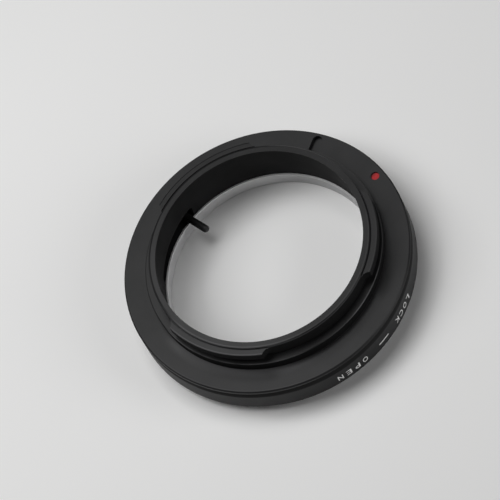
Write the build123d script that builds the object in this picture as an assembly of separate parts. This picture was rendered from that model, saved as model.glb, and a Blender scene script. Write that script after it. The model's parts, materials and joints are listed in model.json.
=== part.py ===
from build123d import *
import math
import os

# A glassless adapter ring: a camera bayonet above, a breech-lock lens seat below, and a control
# ring between them whose pin works the lens's aperture lever.
# Millimetres and degrees. The axis is Z, z = 0 is the lens seat, and the bayonet points up.

# Along the axis, from the lens seat up
ear_thickness = 1.0
breech_gap = 1.1  # between the ears and the lens ring's own flange
lens_flange_thickness = 0.8
register_height = 0.8
mount_spacing = 9.2  # lens seat to camera flange face
flange_thickness = 1.25
spigot_height = 2.5
lug_gap = 1.7  # between the spigot and the lugs' undersides
lug_thickness = 2.05
rim_height = 0.35  # above the lugs
root_groove_depth = 0.3  # of the fine groove where the lugs meet the rim

# Across the camera side, from the bore out
mouth_d = 47.0
bore_flare = 1.0  # on the radius, from the mouth to the foot of the bore
neck_wall = 1.5
lug_depth = 1.6
root_groove_width = 0.3
spigot_step = 1.9  # neck to spigot, which is then 53.8 across
flange_width = 5.6

# Across the lens side and the control ring
register_wall = 0.35
seat_wall = 2.2
ear_depth = 1.9
trap_width = 1.0  # how far the lens ring's flange reaches out under the control ring
band_thickness = 2.44
band_skirt = 0.1  # how far the band hangs below the lens ring's flange
band_bevel_height = 1.1
flange_bevel_height = 0.5
parting_groove_depth = 0.5  # of the groove that the two bevels make between flange and band

# Bayonet lugs and breech ears: where each one starts and ends, at its outer edge
lug_spans = ((-21.4, 22.5), (95.0, 149.0), (221.0, 271.3))
lug_cutter_d = 6.0
first_ear_angle = 65.0
ear_span = 50.0
ear_count = 3
ear_cutter_d = 4.0

# Aperture pin and the window that it sweeps
pin_d = 1.7
pin_angle = 141.2
pin_travel = (-1.8, 36.5)  # either way from where the pin is drawn
pin_reach = 5.9  # from the foot of the bore inwards
pin_tip_rounding = 0.65
pin_sink = 0.3  # pin's outer end below the band
driver_slot_width = 0.4
driver_slot_depth = 0.5
window_roof_wall = 0.2  # left below the flange at the window's high end
window_corner = 0.5

# Lock slot and index dots
lock_slot_angle = 67.4
lock_slot_width = 2.3
lock_slot_inset = 0.7  # from the flange's edge
lock_slot_gap = 0.1  # from the spigot
lock_slot_floor = 0.2
dot_angle = 35.0
dot_d = 2.0
dot_inset = 2.2  # from the flange's edge to the dot's middle
lens_dot_d = 1.6
lens_dot_inset = 1.6
dot_recess = 0.5
dot_fill = 0.2

# Screws
screw_d = 1.7
screw_head_d = 3.0
screw_length = 4.0
cross_width = 0.4
cross_length = 1.6
cross_depth = 0.4

# Clearances
ring_clearance = 0.06  # radial, control ring on hub
ring_float = 0.1  # axial, above and below the control ring
lens_flange_clearance = 0.3
register_clearance = 0.05
pin_end_clearance = 0.15  # at each end of the pin's travel
pin_floor_clearance = 0.25
pin_roof_clearance = 0.2
thread_clearance = 0.03
paint_clearance = 0.02

# Edge breaks
flange_chamfer = 0.3
spigot_chamfer = 0.15
lug_chamfer = 0.12
rim_chamfer = 0.15
band_chamfer = 0.3
throat_chamfer = 0.15
ear_chamfer = 0.2
cut_margin = 1.0  # how far a cutter runs past the face it opens

# Heights worked out from the stack
lens_flange_bottom = ear_thickness + breech_gap
hub_foot = lens_flange_bottom + lens_flange_thickness
register_top = hub_foot + register_height
bore_foot = register_top + register_clearance
flange_face = mount_spacing
flange_back = flange_face - flange_thickness
spigot_top = flange_face + spigot_height
lug_bottom = spigot_top + lug_gap
lug_top = lug_bottom + lug_thickness
rim_top = lug_top + rim_height
band_top = flange_back - ring_float
band_foot = lens_flange_bottom - band_skirt
ring_ledge = hub_foot + ring_float

# Radii worked out from the bore
mouth_r = mouth_d / 2
bore_foot_r = mouth_r + bore_flare
neck_r = mouth_r + neck_wall
lug_r = neck_r + lug_depth
spigot_r = neck_r + spigot_step
flange_r = spigot_r + flange_width
band_r = flange_r
bearing_r = band_r - band_thickness
hub_r = bearing_r - ring_clearance
register_r = bore_foot_r - register_clearance
throat_r = register_r - register_wall
seat_r = throat_r + seat_wall
ear_r = seat_r + ear_depth
lens_flange_r = hub_r + trap_width
screw_circle_r = (seat_r + hub_r) / 2

# The pin's own place
pin_r = pin_d / 2
pin_height = bore_foot + pin_floor_clearance + pin_r
pin_tip_r = bore_foot_r - pin_reach


def turned(*corners):
    """Solid of revolution about Z from the corners (radius, height) of its half section."""
    section = Plane.XZ * make_face(Polyline(*corners, close=True))
    return revolve(section, Axis.Z)


def arc_block(inner_r, outer_r, low, high, start, end):
    """Piece of a tube between two radii, two heights and two angles."""
    corners = ((inner_r, low), (outer_r, low), (outer_r, high), (inner_r, high))
    section = Plane.XZ * make_face(Polyline(*corners, close=True))
    return Rot(Z=start) * revolve(section, Axis.Z, end - start)


def on_circle(radius, angle, height):
    """Place on a circle round the axis, turned so that its own X points outwards."""
    return Rot(Z=angle) * Pos(radius, 0, height)


def milled_gap(floor_r, rim_r, cutter_r, start, end, low, high):
    """What an end mill removes between two lugs that end at start and end on radius rim_r."""
    path_r = floor_r + cutter_r
    overhang = math.degrees(
        math.acos((path_r**2 + rim_r**2 - cutter_r**2) / (2 * path_r * rim_r))
    )
    first = start + overhang
    last = end - overhang
    first_centre = Vector(path_r, 0).rotate(Axis.Z, first)
    last_centre = Vector(path_r, 0).rotate(Axis.Z, last)
    outline = [
        CenterArc((0, 0), floor_r, first, last - first),
        CenterArc(last_centre, cutter_r, last + 180, -180),
        CenterArc((0, 0), path_r + cutter_r, last, first - last),
        CenterArc(first_centre, cutter_r, first, -180),
    ]
    return Pos(Z=low) * extrude(make_face(outline), high - low)


def gaps_between(spans):
    """Start and end of each gap that follows a span round the circle."""
    following = spans[1:] + ((spans[0][0] + 360, spans[0][1] + 360),)
    return [(span[1], after[0]) for span, after in zip(spans, following)]


def screw_form(allowance):
    """Countersunk screw with its head at z = 0, or its hole where an allowance is added."""
    head_r = screw_head_d / 2 + allowance
    shank_r = screw_d / 2 + allowance
    head_height = (screw_head_d - screw_d) / 2
    tip = screw_length + allowance
    return turned((0, 0), (head_r, 0), (shank_r, head_height), (shank_r, tip), (0, tip))


ear_pitch = 360 / ear_count
ear_angles = [first_ear_angle + index * ear_pitch for index in range(ear_count)]
screw_places = [
    on_circle(screw_circle_r, angle + ear_pitch / 2, lens_flange_bottom) for angle in ear_angles
]


def pin_window():
    """Window through the hub that the pin sweeps, with a roof that falls towards its far end."""
    half_width = math.degrees(math.asin((pin_r + pin_end_clearance) / bore_foot_r))
    start = pin_angle + pin_travel[0] - half_width
    end = pin_angle + pin_travel[1] + half_width
    window = arc_block(
        mouth_r - cut_margin, hub_r + cut_margin, bore_foot, flange_face, start, end
    )
    high_end = Vector(hub_r, 0, flange_back - window_roof_wall).rotate(Axis.Z, start)
    low_end = Vector(hub_r, 0, pin_height + pin_r + pin_roof_clearance).rotate(Axis.Z, end)
    outwards = Vector(1, 0, 0).rotate(Axis.Z, (start + end) / 2)
    roof = Plane(high_end, x_dir=outwards, z_dir=outwards.cross(low_end - high_end))
    window = split(window, bisect_by=roof, keep=Keep.BOTTOM)
    straight = window.edges().filter_by(GeomType.LINE)
    return fillet(straight - straight.filter_by(Axis.Z), window_corner)


def lock_slot():
    """Closed slot in the flange face for a camera's lock pin."""
    inner = spigot_r + lock_slot_gap
    outer = flange_r - lock_slot_inset
    outline = SlotOverall(outer - inner, lock_slot_width)
    place = on_circle((inner + outer) / 2, lock_slot_angle, flange_face)
    return place * extrude(outline, lock_slot_floor - flange_thickness)


def mount_body():
    """Bayonet, spigot, flange and hub, turned and milled in one piece."""
    body = turned(
        (bore_foot_r, bore_foot),
        (bore_foot_r, hub_foot),
        (hub_r, hub_foot),
        (hub_r, flange_back),
        (flange_r - parting_groove_depth, flange_back),
        (flange_r, flange_back + flange_bevel_height),
        (flange_r, flange_face - flange_chamfer),
        (flange_r - flange_chamfer, flange_face),
        (spigot_r, flange_face),
        (spigot_r, spigot_top - spigot_chamfer),
        (spigot_r - spigot_chamfer, spigot_top),
        (neck_r, spigot_top),
        (neck_r, lug_bottom),
        (lug_r, lug_bottom),
        (lug_r, lug_top - lug_chamfer),
        (lug_r - lug_chamfer, lug_top),
        (neck_r + root_groove_width, lug_top),
        (neck_r + root_groove_width, lug_top - root_groove_depth),
        (neck_r, lug_top - root_groove_depth),
        (neck_r, rim_top - rim_chamfer),
        (neck_r - rim_chamfer, rim_top),
        (mouth_r, rim_top),
    )
    gap_low = (spigot_top + lug_bottom) / 2
    gap_high = (lug_top + rim_top) / 2
    for start, end in gaps_between(lug_spans):
        body -= milled_gap(neck_r, lug_r, lug_cutter_d / 2, start, end, gap_low, gap_high)
    body -= pin_window()
    body -= lock_slot()
    dimple = extrude(Circle(dot_d / 2), -dot_recess)
    body -= on_circle(flange_r - dot_inset, dot_angle, flange_face) * dimple
    for place in screw_places:
        body -= place * screw_form(thread_clearance)
    return body


def control_ring():
    """Outer band that turns on the hub, trapped between the flange and the lens ring."""
    recess_r = lens_flange_r + lens_flange_clearance
    ring = turned(
        (bearing_r, ring_ledge),
        (bearing_r, band_top),
        (band_r - parting_groove_depth, band_top),
        (band_r, band_top - band_bevel_height),
        (band_r, band_foot + band_chamfer),
        (band_r - band_chamfer, band_foot),
        (recess_r, band_foot),
        (recess_r, ring_ledge),
    )
    hole = Plane.YZ * Circle(pin_r + thread_clearance)
    bar = Pos(hub_r - cut_margin, 0, pin_height) * extrude(hole, band_r - hub_r + 2 * cut_margin)
    return ring - Rot(Z=pin_angle) * bar


def aperture_pin():
    """Radial pin with a rounded tip inside the bore and a driver slot at its outer end."""
    length = band_r - pin_sink - pin_tip_r
    pin = extrude(Plane.YZ * Circle(pin_r), length)
    pin = fillet(pin.edges().group_by(Axis.X)[0], pin_tip_rounding)
    driver = Pos(length, 0, 0) * Box(2 * driver_slot_depth, driver_slot_width, 2 * pin_d)
    return on_circle(pin_tip_r, pin_angle, pin_height) * (pin - driver)


def lens_mount_ring():
    """Lens seat with its breech-lock ears, and the flange that traps the control ring."""
    ring = turned(
        (throat_r + throat_chamfer, 0),
        (ear_r - ear_chamfer, 0),
        (ear_r, ear_chamfer),
        (ear_r, ear_thickness),
        (seat_r, ear_thickness),
        (seat_r, lens_flange_bottom),
        (lens_flange_r, lens_flange_bottom),
        (lens_flange_r, hub_foot),
        (register_r, hub_foot),
        (register_r, register_top),
        (throat_r, register_top),
        (throat_r, throat_chamfer),
    )
    ear_spans = tuple((angle - ear_span / 2, angle + ear_span / 2) for angle in ear_angles)
    gap_high = ear_thickness + breech_gap / 2
    for start, end in gaps_between(ear_spans):
        ring -= milled_gap(seat_r, ear_r, ear_cutter_d / 2, start, end, -cut_margin, gap_high)
    for place in screw_places:
        ring -= place * screw_form(thread_clearance)
    dimple = extrude(Circle(lens_dot_d / 2), dot_recess)
    return ring - on_circle(lens_flange_r - lens_dot_inset, dot_angle, lens_flange_bottom) * dimple


def mount_screws():
    """Countersunk screws with cross recesses, as a group of separate solids."""
    slot = Box(cross_length, cross_width, 2 * cross_depth)
    screw = screw_form(0) - slot - Rot(Z=90) * slot
    return Compound(children=[place * screw for place in screw_places])


def enamel_dot(diameter, thickness):
    """Disc of enamel that fills the floor of a dimple."""
    return extrude(Circle(diameter / 2 - paint_clearance), thickness)


camera_dot = on_circle(flange_r - dot_inset, dot_angle, flange_face - dot_recess)
lens_dot = on_circle(lens_flange_r - lens_dot_inset, dot_angle, lens_flange_bottom + dot_recess)
nodes = {
    "mount_body": mount_body(),
    "control_ring": control_ring(),
    "aperture_pin": aperture_pin(),
    "lens_mount_ring": lens_mount_ring(),
    "mount_screws": mount_screws(),
    "camera_index_dot": camera_dot * enamel_dot(dot_d, dot_fill),
    "lens_index_dot": lens_dot * enamel_dot(lens_dot_d, -dot_fill),
}

os.makedirs("parts", exist_ok=True)
for name, shape in nodes.items():
    export_step(shape, f"parts/{name}.step")
    print(name, round(shape.volume, 2))
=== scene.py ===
# %% [markdown]
# # A lens mount adapter
# This lesson dresses a small turned part for a product picture. The solids come from the
# construction model and stay exactly as they are. Blender gives them their finishes, prints the
# words on the control ring, and sets up the camera, the floor and the light.

# %% Load the solids
import json
import math

import bmesh
import bpy
from mathutils import Matrix, Vector

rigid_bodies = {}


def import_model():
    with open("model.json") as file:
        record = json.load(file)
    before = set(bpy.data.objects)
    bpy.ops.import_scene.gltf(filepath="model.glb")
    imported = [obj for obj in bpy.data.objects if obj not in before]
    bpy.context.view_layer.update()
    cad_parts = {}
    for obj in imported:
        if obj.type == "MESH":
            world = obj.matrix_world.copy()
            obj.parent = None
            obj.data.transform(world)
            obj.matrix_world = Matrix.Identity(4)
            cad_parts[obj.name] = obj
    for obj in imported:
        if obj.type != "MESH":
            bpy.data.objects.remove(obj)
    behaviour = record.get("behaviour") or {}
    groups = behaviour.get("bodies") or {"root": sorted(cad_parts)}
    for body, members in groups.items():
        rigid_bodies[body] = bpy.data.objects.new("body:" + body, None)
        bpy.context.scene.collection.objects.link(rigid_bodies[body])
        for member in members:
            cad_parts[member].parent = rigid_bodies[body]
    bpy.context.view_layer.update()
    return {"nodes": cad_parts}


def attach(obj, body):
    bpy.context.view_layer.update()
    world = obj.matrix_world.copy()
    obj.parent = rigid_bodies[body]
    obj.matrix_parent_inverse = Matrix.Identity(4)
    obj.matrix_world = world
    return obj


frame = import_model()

solids = frame["nodes"]
print("solids:", sorted(solids))

# %% [markdown]
# ## Sizes
# A finish has to know where the part's edges are. All of its sizes could be typed in again, but it is
# safer to measure what can be measured. So the body's outer radius and its top come from its own box,
# and only the steps from there are written down. Blender counts in metres and a machinist in
# millimetres, so sizes are named in millimetres here and turned into metres where they are used.

# %% Sizes
MM = 0.001
MM_PER_METRE = 1000


def outer_radius(node):
    """Half the width of a round solid, in millimetres."""
    return max(corner[0] for corner in solids[node].bound_box) * MM_PER_METRE


def top_of(node):
    """Height of a solid's highest point, in millimetres."""
    return max(corner[2] for corner in solids[node].bound_box) * MM_PER_METRE


flange_width = 5.6
spigot_step = 1.9
lug_depth = 1.6
flange_radius = outer_radius("mount_body")
spigot_radius = flange_radius - flange_width
neck_radius = spigot_radius - spigot_step
lug_radius = neck_radius + lug_depth
rim_height = 0.35
lugs_above_spigot = 3.75
spigot_height = 2.5
rim_top = top_of("mount_body")
lug_top = rim_top - rim_height
spigot_top = lug_top - lugs_above_spigot
flange_face = spigot_top - spigot_height
print("radii:", [round(size, 3) for size in (neck_radius, lug_radius, spigot_radius, flange_radius)])
print("heights:", [round(size, 3) for size in (flange_face, spigot_top, lug_top, rim_top)])

# %% [markdown]
# ## Camera
# The camera stands a metre away with a long lens, so the ring looks almost free of perspective, and it
# is rolled a little, as a camera in the hand is. It could be aimed with a constraint, but its three
# axes are known here, so they go straight into its matrix: to the right, up, and backwards.

# %% Camera
to_the_right = Vector((0.9656, 0.0, -0.2602)).normalized()
upwards = Vector((0.1237, 0.8798, 0.4591)).normalized()
backwards = to_the_right.cross(upwards)
camera_distance = 1000
shift_left = 3.54
shift_up = 2.055
flange_centre = Vector((0, 0, flange_face)) * MM
eye = flange_centre + (backwards * camera_distance - to_the_right * shift_left + upwards * shift_up) * MM

camera_data = bpy.data.cameras.new("camera")
camera_data.lens = 328.2
camera_data.sensor_width = 36.0
camera = bpy.data.objects.new("camera", camera_data)
axes = Matrix((to_the_right, upwards, backwards)).transposed()
camera.matrix_world = Matrix.Translation(eye) @ axes.to_4x4()
bpy.context.scene.collection.objects.link(camera)
bpy.context.scene.camera = camera
bpy.context.scene.view_settings.view_transform = "Standard"
print("camera at", [round(value, 3) for value in eye])

# %% [markdown]
# ## Shader maths
# A finish is easier to read as a formula than as a list of links. This class wraps one socket:
# sums and products of wrapped sockets add Math nodes, and `node` adds any other kind, with its
# settings first and then the values or links of its sockets.

# %% Shader maths
class Signal:
    """One output socket in a shader tree, with arithmetic."""

    def __init__(self, tree, socket=None):
        self.tree = tree
        self.socket = socket

    def node(self, kind, settings=None, inputs=None, output=0):
        """Adds a node and wraps one of its outputs."""
        made = self.tree.nodes.new(kind)
        for name, value in (settings or {}).items():
            setattr(made, name, value)
        for key, value in (inputs or {}).items():
            if isinstance(value, Signal):
                self.tree.links.new(value.socket, made.inputs[key])
            else:
                made.inputs[key].default_value = value
        return Signal(self.tree, made.outputs[output])

    def math(self, operation, *values):
        """Adds a Math node."""
        return self.node("ShaderNodeMath", {"operation": operation}, dict(enumerate(values)))

    def __add__(self, other):
        return self.math("ADD", self, other)

    def __sub__(self, other):
        return self.math("SUBTRACT", self, other)

    def __rsub__(self, other):
        return self.math("SUBTRACT", other, self)

    def __mul__(self, other):
        return self.math("MULTIPLY", self, other)

    def __truediv__(self, other):
        return self.math("DIVIDE", self, other)

    __radd__ = __add__
    __rmul__ = __mul__

    def ramp(self, low, high, low_value=0.0, high_value=1.0):
        """Smooth step from low_value at low to high_value at high."""
        return self.node(
            "ShaderNodeMapRange",
            {"interpolation_type": "SMOOTHSTEP"},
            {"Value": self, "From Min": low, "From Max": high, "To Min": low_value, "To Max": high_value},
        )

    def window(self, low, high, soft):
        """1 between low and high, falling to 0 over the soft distance outside."""
        return self.ramp(low - soft, low) * self.ramp(high, high + soft, 1.0, 0.0)

    def noise(self, scale, detail):
        """Noise from 0 to 1 over this vector."""
        return self.node("ShaderNodeTexNoise", {}, {"Vector": self, "Scale": scale, "Detail": detail})

    def colours(self, low, high):
        """Colour between low and high, by this value."""
        return self.node(
            "ShaderNodeMix",
            {"data_type": "RGBA"},
            {"Factor": self, "A": (*low, 1.0), "B": (*high, 1.0)},
            output="Result",
        )


# %% [markdown]
# ## Starting a finish
# Almost every piece here was turned on a lathe, so most patterns depend on the distance from the axis
# and on the height. Both come from Object coordinates, which stay with the piece when it moves.
# They are turned into millimetres, because that is how a machinist thinks of them.

# %% Starting a finish
MICRON = 0.001 * MM


class Finish:
    """A material with a Principled shader, and the coordinates its patterns use."""

    def __init__(self, name, **constants):
        self.material = bpy.data.materials.new(name)
        self.material.use_nodes = True
        self.tree = self.material.node_tree
        self.shader = self.tree.nodes["Principled BSDF"]
        for key, value in constants.items():
            self.shader.inputs[key.replace("_", " ")].default_value = value
        self.place = Signal(self.tree).node("ShaderNodeTexCoord", output="Object")
        self.along = self.coordinate("X")
        self.across = self.coordinate("Y")
        self.height = self.coordinate("Z")
        squared = self.along * self.along + self.across * self.across
        self.radius = squared.math("SQRT", squared)

    def coordinate(self, axis):
        """Place along one axis, in millimetres."""
        return self.place.node("ShaderNodeSeparateXYZ", {}, {0: self.place}, axis) * MM_PER_METRE

    def towards(self, angle):
        """How far a place lies from the axis in that direction, in millimetres."""
        turn = math.radians(angle)
        return self.along * math.cos(turn) + self.across * math.sin(turn)

    def turned(self, pitch):
        """Fine rings left by the tool, one about every pitch millimetres."""
        profile = {"X": self.radius / pitch, "Y": self.height / pitch, "Z": 0.0}
        return self.place.node("ShaderNodeCombineXYZ", {}, profile).noise(1.0, 1.0)

    def bump(self, relief, microns):
        """Relief from 0 to 1, that many microns deep."""
        depth = {"Strength": 1.0, "Distance": microns * MICRON, "Height": relief}
        return self.place.node("ShaderNodeBump", {}, depth)

    def set(self, **signals):
        """Links a signal to each named socket of the shader."""
        for key, signal in signals.items():
            self.tree.links.new(signal.socket, self.shader.inputs[key.replace("_", " ")])

    def dress(self, piece):
        """Gives a piece this material and no other."""
        piece.data.materials.clear()
        piece.data.materials.append(self.material)
        print(self.material.name, "on", piece.name, "with", len(self.tree.nodes), "shader nodes")


# %% [markdown]
# ## Edges of the body
# The body is one turned piece: a wide flange, a spigot that centres it on the camera, a narrower
# neck, and three lugs just below its rim. Its edges were broken with small bevels and don't look like
# its flat faces. They could be given materials of their own, face by face, but then every border would
# be hard. Here each one is a mask, 1 on the edge and 0 elsewhere, found by its radius and its height.

# %% Edges of the body
body = Finish("satin_black", IOR=1.31)
at_spigot = body.radius.window(spigot_radius - 0.16, spigot_radius + 0.1, 0.03)
at_lugs = body.radius.window(lug_radius - 0.28, lug_radius + 0.1, 0.05)
at_rim = body.radius.window(neck_radius - 0.4, neck_radius, 0.06)
at_root = body.radius.window(neck_radius - 0.02, neck_radius + 0.32, 0.04)
at_flange = body.radius.ramp(flange_radius - 0.3, flange_radius - 0.2)
at_lip = body.radius.window(flange_radius - 0.5, flange_radius - 0.25, 0.06)
spigot_edge = at_spigot * body.height.window(spigot_top - 0.17, spigot_top + 0.1, 0.03)
lug_edge = at_lugs * body.height.window(lug_top - 0.13, lug_top + 0.05, 0.03)
rim_edge = at_rim * body.height.ramp(rim_top - 0.4, rim_top - 0.2)
root_groove = at_root * body.height.window(lug_top - 0.35, lug_top - 0.03, 0.03)
flange_edge = at_flange * body.height.window(flange_face - 0.3, flange_face + 0.1, 0.03)
flange_lip = at_lip * body.height.ramp(flange_face - 0.08, flange_face - 0.03)
print("edges of the body:", len(body.tree.nodes), "shader nodes")

# %% [markdown]
# ## Walls of the body
# The upright walls and the bore look darker and duller than the flat faces. Part of that is shade,
# which the lamps give by themselves, and part is painted shade: their colour is drawn darker and
# their finish duller. Each wall gets a mask of its own, so that its share of painted shade can be set
# alone. The top of the rim and the lugs, and the flange's foot round the spigot, are found in the same
# way.

# %% Walls of the body
foot_width = 2.7
outside = body.radius.ramp(flange_radius - 0.6, flange_radius - 0.4)
on_spigot = body.radius.ramp(spigot_radius - 0.1, spigot_radius - 0.03)
on_neck = body.radius.window(neck_radius - 0.1, lug_radius + 0.05, 0.05)
inside = body.radius.ramp(neck_radius - 0.4, neck_radius - 0.3, 1.0, 0.0)
by_spigot = body.radius.ramp(spigot_radius, spigot_radius + foot_width, 1.0, 0.0)
flange_side = outside * body.height.ramp(flange_face - 0.4, flange_face - 0.25, 1.0, 0.0)
spigot_wall = on_spigot * body.height.window(flange_face + 0.1, spigot_top - 0.2, 0.05)
neck_wall = on_neck * body.height.window(spigot_top + 0.1, lug_top - 0.15, 0.05)
bore = inside * body.height.ramp(rim_top - 0.3, rim_top - 0.05, 1.0, 0.0)
foot = by_spigot * body.height.window(flange_face - 0.1, flange_face + 0.1, 0.05)
top = body.height.ramp(lug_top - 0.1, lug_top - 0.03)
print("edges and walls of the body:", len(body.tree.nodes), "shader nodes")

# %% [markdown]
# ## Black anodised body
# The body is aluminium, blasted to a fine satin and dyed black. The dye is not quite even, and the
# blasting leaves a tiny grain. The broken edges near the camera and towards the lamps at the left, the
# groove at the lugs' root away from the far left, and the flange's foot on the near side are painted
# paler, as highlights and light. The spigot's near edge is also worn to a shinier metal in patches.
# The tops are painted paler at the left and darker elsewhere. The far edges and the deep walls are
# painted darker, as shade, and are duller. All this could be painted in an image, but a turned part
# needs none: three masks by direction say which side a place is on, and the edges and walls are
# multiplied by them.

# %% Black anodised body
grain = body.place.noise(6500.0, 2.0)
clouds = body.place.noise(130.0, 3.0)
rings = body.turned(0.11)
front = body.towards(-64.5).ramp(3.0, 10.0)
left = body.towards(225.0).ramp(6.0, 18.4)
far_left = body.towards(150.0).ramp(6.0, 16.0)
# Painted shade: the neck and spigot walls, the bore and the flange's side away from the left are drawn
# darker, and duller.
dull_shaded_walls = bore + neck_wall * 1.2 + spigot_wall * 1.1 + flange_side * (0.45 - left * 0.45)
# Painted shade: the far edges of spigot, lugs and rim, and the flange's outer edge away from the camera,
# are drawn darker, and duller.
dull_shaded_far_edges = (lug_edge + spigot_edge + rim_edge) * far_left + flange_edge * (1 - front)
# Wear and painted highlight: the spigot's near edge is paler, shinier metal in patches, paler still
# towards the left lamps.
wear_and_highlight = spigot_edge * front * clouds.ramp(0.25, 0.6)
# Painted highlights: the edges of the lugs, the rim and the flange's lip are paler towards the lamps at
# the left.
edges = lug_edge * (0.2 + left * 0.7) + rim_edge * (0.2 + left * 0.5) + flange_lip * left * 0.25
# Painted light: the near edges, and the groove at the lugs' root away from the far left, are drawn paler.
painted_highlights = edges * front + root_groove * (1 - far_left)
# The dye's own unevenness, darkened by the painted shade of the deep walls and far edges.
dye_and_shade = (clouds * 0.6 + grain * 0.4 - dull_shaded_walls * 0.4 - dull_shaded_far_edges * 0.5) * 0.25
# Painted light and shade: the flange's foot is paler on the near side, and the tops are paler at the left
# and darker elsewhere.
faces = foot * front * (0.2 + left * 0.25) + top * (left * 0.14 - 0.08)
tone = dye_and_shade + wear_and_highlight * (0.4 + left * 0.4) + painted_highlights * 0.5 + faces
body.set(
    Base_Color=tone.colours((0.006, 0.006, 0.0063), (0.12, 0.12, 0.123)),
    Metallic=wear_and_highlight * 0.3,
    Roughness=0.38 + grain * 0.08 - wear_and_highlight * 0.1 + dull_shaded_walls * 0.45 + dull_shaded_far_edges * 0.4,
    Normal=body.bump(grain * 0.8 + rings * 0.4, 2.5),
)
body.dress(solids["mount_body"])

# %% [markdown]
# ## Control ring
# The ring that is turned by hand has the same black, but it was turned with a finer feed and not
# blasted, so it carries rings that run round it. They could be modelled as tiny grooves, but a bump of
# two microns is enough to spread the shine. One side is painted a little paler, as the light that falls
# more strongly there. The bevel lies under the flange. Its colour is painted darker, as the flange's
# shade, and it is a little duller.

# %% Control ring
band_top = top_of("control_ring")
band = Finish("black_turned", IOR=1.33)
grain = band.place.noise(5000.0, 2.0)
clouds = band.place.noise(110.0, 3.0)
rings = band.turned(0.16)
# Painted shade: the bevel under the flange is drawn darker, and a little duller.
bevel = band.height.ramp(band_top - 1.15, band_top - 0.75)
# Painted light: the side towards +X, where more light falls, is drawn paler.
lit_side = band.along.ramp(22.0, 32.0) * (1 - bevel)
tone = clouds * 0.7 + rings * 0.3 + lit_side * 0.5 - bevel * 0.7
band.set(
    Base_Color=tone.colours((0.004, 0.004, 0.0042), (0.036, 0.036, 0.037)),
    Roughness=0.48 + rings * 0.12 + bevel * 0.1,
    Normal=band.bump(rings * 0.8 + grain * 0.4, 2.0),
)
band.dress(solids["control_ring"])

# %% [markdown]
# ## Lens ring
# The ring that takes the lens was turned and plated to a satin grey. A smoother metal would mirror the
# floor and hide where the wall ends, so its shine is broad. Dust dulls it in small patches. One end of
# the wall is painted greyer, as shade against the stronger light that falls there, so the wall looks
# even. The top edge of its sleeve is drawn matt and pale, as a painted highlight. Separate materials
# could do this, but one finish with masks keeps the changes soft.

# %% Lens ring
sleeve_top = top_of("lens_mount_ring")
plate = Finish("satin_plate")
rings = plate.turned(0.09)
clouds = plate.place.noise(160.0, 3.0)
# Painted shade: the end of the wall towards +X is drawn greyer against the stronger light there.
shaded_end = plate.along.ramp(-4.0, 8.0)
# Painted highlight: the top edge of the sleeve is drawn pale and matt.
highlit_lip = plate.height.ramp(sleeve_top - 0.4, sleeve_top - 0.3)
tone = 0.65 + rings * 0.15 + clouds * 0.2 - shaded_end * 0.69 + highlit_lip * 0.3
plate.set(
    Base_Color=tone.colours((0.4, 0.4, 0.403), (0.95, 0.95, 0.956)),
    Metallic=1 - highlit_lip * 0.9,
    Roughness=0.45 + clouds * 0.08 + rings * 0.06,
    Normal=plate.bump(rings, 1.2),
)
plate.dress(solids["lens_mount_ring"])

# %% [markdown]
# ## Aperture pin
# The pin is steel, blackened in a hot bath, which keeps more shine than the body has. Its round
# tip rubs on the lens's lever, so the black is worn thin there. A second material would end in a
# line, so the wear is a mask that fades from the tip outwards.

# %% Aperture pin
pin_points = solids["aperture_pin"].data.vertices
tip_radius = min(point.co.xy.length for point in pin_points) * MM_PER_METRE
blackened = Finish("pin_black", IOR=1.3)
grain = blackened.place.noise(3800.0, 3.0)
tip_wear = blackened.radius.ramp(tip_radius + 0.1, tip_radius + 1.2, 1.0, 0.0)
tone = grain * 0.35 + tip_wear * 0.65
blackened.set(
    Base_Color=tone.colours((0.006, 0.006, 0.0065), (0.04, 0.04, 0.0405)),
    Roughness=0.42 - tip_wear * 0.14 + grain * 0.1,
    Normal=blackened.bump(grain, 3.0),
)
blackened.dress(solids["aperture_pin"])

# %% [markdown]
# ## Screws
# The three screws are plain steel. Their heads are small, so no turning marks are drawn: a soft
# mottle in colour and roughness is enough to keep them from looking like plastic.

# %% Screws
steel = Finish("screw_steel", Metallic=1.0)
grain = steel.place.noise(2600.0, 3.0)
steel.set(
    Base_Color=grain.colours((0.42, 0.42, 0.43), (0.62, 0.62, 0.63)),
    Roughness=0.24 + grain * 0.16,
    Normal=steel.bump(grain, 2.0),
)
steel.dress(solids["mount_screws"])

# %% [markdown]
# ## Red index dots
# Each dot is a drop of enamel in a drilled dimple. Enamel pools and shrinks, so its skin is faintly
# wavy and its red varies a little. Its rim and one side are painted a deeper, darker red, as the shade
# of the dimple's wall, and the other side paler, as the light that falls on it. Both are measured from
# the middle of the camera's dot, the one that shows. The lens's dot underneath shares the material.

# %% Red index dots
enamel = Finish("dot_red", IOR=1.3)
pooling = enamel.place.noise(1500.0, 2.0)
corners = [Vector(corner) * MM_PER_METRE for corner in solids["camera_index_dot"].bound_box]
dot_middle = sum(corners, Vector()) / len(corners)
east = enamel.along - dot_middle.x
north = enamel.across - dot_middle.y
spread = east * east + north * north
# How far a place lies towards the dot's lit side.
towards_lit_side = east * 0.7 - north * 0.7
# Painted light and shade with real pooling: paler on the lit side, darker at the rim and the shaded side.
pooled_and_lit = towards_lit_side.ramp(-0.95, -0.1) * 0.7 + pooling * 0.3 - spread.ramp(0.5, 0.95) * 0.7
enamel.set(
    Base_Color=pooled_and_lit.colours((0.12, 0.005, 0.006), (0.58, 0.025, 0.031)),
    Roughness=0.4 + pooling * 0.12,
    Normal=enamel.bump(pooling, 12.0),
)
enamel.dress(solids["camera_index_dot"])
enamel.dress(solids["lens_index_dot"])

# %% [markdown]
# ## Letter shapes
# The band says in plain capitals which way to turn it. A letter could be drawn with curves by hand,
# but a text object already holds its outline. So the text becomes a flat mesh, and is thrown away.
# Every letter is then stretched to the same width and height, because those on the band look alike.

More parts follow.
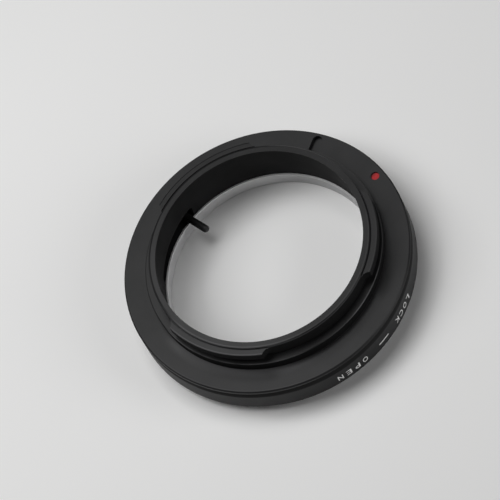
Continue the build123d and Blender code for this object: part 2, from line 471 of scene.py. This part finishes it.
# %% Letter shapes
cap_height = 1.75
letter_width = 1.35
boldness = 0.016
curve_steps = 6


def letter_shape(character):
    """A flat bmesh of one capital, centred, in millimetres, with its face up."""
    writing = bpy.data.curves.new("writing", "FONT")
    writing.body = character
    writing.resolution_u = curve_steps
    writing.offset = boldness
    holder = bpy.data.objects.new("writing", writing)
    flat = bpy.data.meshes.new_from_object(holder)
    shape = bmesh.new()
    shape.from_mesh(flat)
    bpy.data.objects.remove(holder)
    bpy.data.curves.remove(writing)
    bpy.data.meshes.remove(flat)
    across = [vertex.co.x for vertex in shape.verts]
    tall = [vertex.co.y for vertex in shape.verts]
    middle = Vector(((min(across) + max(across)) / 2, (min(tall) + max(tall)) / 2, 0))
    bmesh.ops.translate(shape, verts=shape.verts, vec=-middle)
    stretch = (letter_width / (max(across) - min(across)), cap_height / (max(tall) - min(tall)), 1)
    bmesh.ops.scale(shape, verts=shape.verts, vec=stretch)
    return shape


print("letters:", letter_width, "by", cap_height, "mm")

# %% [markdown]
# ## Words and dash
# The two words and the dash between them run round the band. Each letter could be spaced by its own
# width, but those on the band stand at almost even steps, so each one gets its angle in degrees. The
# dash starts as a strip of several squares, because a single one couldn't be bent.

# %% Words and dash
letter_angles = (
    ("L", 339.9), ("O", 336.7), ("C", 333.3), ("K", 330.0),
    ("O", 310.0), ("P", 306.1), ("E", 302.1), ("N", 298.2),
)
dash_angle = 320.6
dash_half_length = 1.6
dash_half_width = 0.16
ink_shapes = [(letter_shape(character), angle) for character, angle in letter_angles]
dash = bmesh.new()
bmesh.ops.create_grid(dash, x_segments=8, y_segments=1, size=1.0)
bmesh.ops.scale(dash, verts=dash.verts, vec=(dash_half_length, dash_half_width, 1))
ink_shapes.append((dash, dash_angle))
print("flat shapes:", [len(shape.faces) for shape, angle in ink_shapes], "faces")

# %% [markdown]
# ## Bending round the band
# The ink is a film, two hundredths of a millimetre thick, on a curved band. A Curve modifier could bend
# it, but it needs a helper curve. Here a flat shape gets its thickness with an extrusion and is bent by
# turning its width into an angle, which leaves a plain mesh. The tops of the letters point to the lens.

# %% Bending round the band
band_radius = outer_radius("control_ring")
ink_top = 0.012
ink_thickness = 0.02
word_height = 4.22
weld_distance = 0.001


def bend_round_band(shape, angle):
    """Thickens a flat shape and bends it round the band, about the given angle."""
    bmesh.ops.remove_doubles(shape, verts=shape.verts, dist=weld_distance)
    raised = bmesh.ops.extrude_face_region(shape, geom=shape.faces[:])["geom"]
    upper = [item for item in raised if isinstance(item, bmesh.types.BMVert)]
    bmesh.ops.translate(shape, verts=upper, vec=(0, 0, ink_thickness))
    for vertex in shape.verts:
        turn = math.radians(angle) - vertex.co.x / band_radius
        radius = band_radius + ink_top - ink_thickness + vertex.co.z
        vertex.co = (radius * math.cos(turn), radius * math.sin(turn), word_height - vertex.co.y)
    bmesh.ops.scale(shape, verts=shape.verts, vec=(MM, MM, MM))
    bmesh.ops.recalc_face_normals(shape, faces=shape.faces)


print("ink from radius", band_radius + ink_top - ink_thickness, "to", band_radius + ink_top)

# %% [markdown]
# ## Printed words
# On the real band the words and the dash are one print, so they become one piece. Separate pieces would
# work too, but each would need a body to ride on. The piece rides on the control ring's body, so the
# words go round when the ring is turned.

# %% Printed words
words = bpy.data.meshes.new("turn_words")
gathered = bmesh.new()
for shape, angle in ink_shapes:
    bend_round_band(shape, angle)
    shape.to_mesh(words)
    gathered.from_mesh(words)
    shape.free()
gathered.to_mesh(words)
gathered.free()
turn_words = bpy.data.objects.new("turn_words", words)
bpy.context.scene.collection.objects.link(turn_words)
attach(turn_words, "control")
print("turn_words:", len(words.polygons), "faces")

# %% [markdown]
# ## White ink
# The ink was rolled on and baked, so it is flat, almost white and slightly uneven where it is thin.
# One white all over would look like a sticker, so a fine grain varies its colour and its shine.

# %% White ink
ink = Finish("white_ink", IOR=1.45)
grain = ink.place.noise(4200.0, 2.0)
ink.set(
    Base_Color=grain.colours((0.92, 0.92, 0.91), (1.0, 1.0, 0.99)),
    Roughness=0.55 + grain * 0.15,
    Normal=ink.bump(grain, 3.0),
)
ink.dress(turn_words)

# %% [markdown]
# ## Floor
# A plain pale sheet, large enough to fill the view. It lies a hair under the part, so that the
# two surfaces don't fight for the same pixels. A curved backdrop would do as well, but the camera
# looks down and sees nothing of it.

# %% Floor
floor_half_size = 3000
floor_gap = 0.05
sheet = bmesh.new()
bmesh.ops.create_grid(sheet, x_segments=1, y_segments=1, size=floor_half_size * MM)
bmesh.ops.translate(sheet, verts=sheet.verts, vec=(0, 0, -floor_gap * MM))
floor_mesh = bpy.data.meshes.new("floor")
sheet.to_mesh(floor_mesh)
sheet.free()
floor = bpy.data.objects.new("floor", floor_mesh)
bpy.context.scene.collection.objects.link(floor)
print("floor at", floor_mesh.vertices[0].co.z)

# %% [markdown]
# ## Paper
# The sheet is matt paper, faintly cloudy. Its back is clear, so that the part's underside can be
# looked at too. The floor could be hidden for such a view, but then the view would need a script of
# its own. Here the side that a ray meets chooses between the paper and a clear shader.

# %% Paper
paper = Finish("pale_paper", Roughness=0.8)
clouds = paper.place.noise(14.0, 3.0)
paper.set(Base_Color=clouds.colours((0.94, 0.94, 0.935), (0.98, 0.98, 0.975)))
back = paper.place.node("ShaderNodeNewGeometry", output="Backfacing")
clear = paper.place.node("ShaderNodeBsdfTransparent")
opaque = Signal(paper.tree, paper.shader.outputs[0])
either = paper.place.node("ShaderNodeMixShader", {}, {0: back, 1: opaque, 2: clear})
paper.tree.links.new(either.socket, paper.tree.nodes["Material Output"].inputs["Surface"])
paper.dress(floor)

# %% [markdown]
# ## Lamps
# Three soft lamps light the part: a key high at the back left, one to the left of it that draws the
# flange, and a weaker, lower one at the right that fills the near side. One large lamp would be
# simpler, but the black finish shows mostly broad reflections, so where the lamps hang matters more
# than how strong they are.

# %% Lamps
lamp_distance = 450
lamp_width = 250


def soft_lamp(name, direction, watts):
    """A square lamp that faces the part from that direction."""
    lamp = bpy.data.lights.new(name, "AREA")
    lamp.size = lamp_width * MM
    lamp.energy = watts
    holder = bpy.data.objects.new(name, lamp)
    holder.location = flange_centre + direction.normalized() * lamp_distance * MM
    holder.rotation_mode = "QUATERNION"
    holder.rotation_quaternion = direction.to_track_quat("Z", "Y")
    bpy.context.scene.collection.objects.link(holder)
    print(name, [round(value, 2) for value in holder.location])


soft_lamp("key_lamp", Vector((-0.22, 0.22, 0.95)), 0.8)
soft_lamp("side_lamp", Vector((-0.62, 0.0, 0.79)), 0.78)
soft_lamp("fill_lamp", Vector((0.88, -0.2, 0.43)), 0.5)

# %% [markdown]
# ## World
# The world is almost dark to the part, because an even glow from all round would wash out the deep
# walls. The camera sees it pale, as the backdrop of a low view. A white wall behind the part could give
# that too, but it would also light the part. Shiny and clear surfaces see only a trace of the backdrop.

# %% World
glow = 0.01
backdrop = 0.75
mirrored_backdrop = 0.03
world = bpy.data.worlds.new("studio")
bpy.context.scene.world = world
world.use_nodes = True
sky = Signal(world.node_tree)
seen = sky.node("ShaderNodeLightPath", output="Is Camera Ray")
mirrored = sky.node("ShaderNodeLightPath", output="Is Glossy Ray")
through = sky.node("ShaderNodeLightPath", output="Is Transmission Ray")
strength = glow + seen * backdrop + (mirrored + through) * mirrored_backdrop
background = world.node_tree.nodes["Background"]
background.inputs["Color"].default_value = (1.0, 1.0, 1.0, 1.0)
world.node_tree.links.new(strength.socket, background.inputs["Strength"])
print("world with", len(world.node_tree.nodes), "shader nodes")
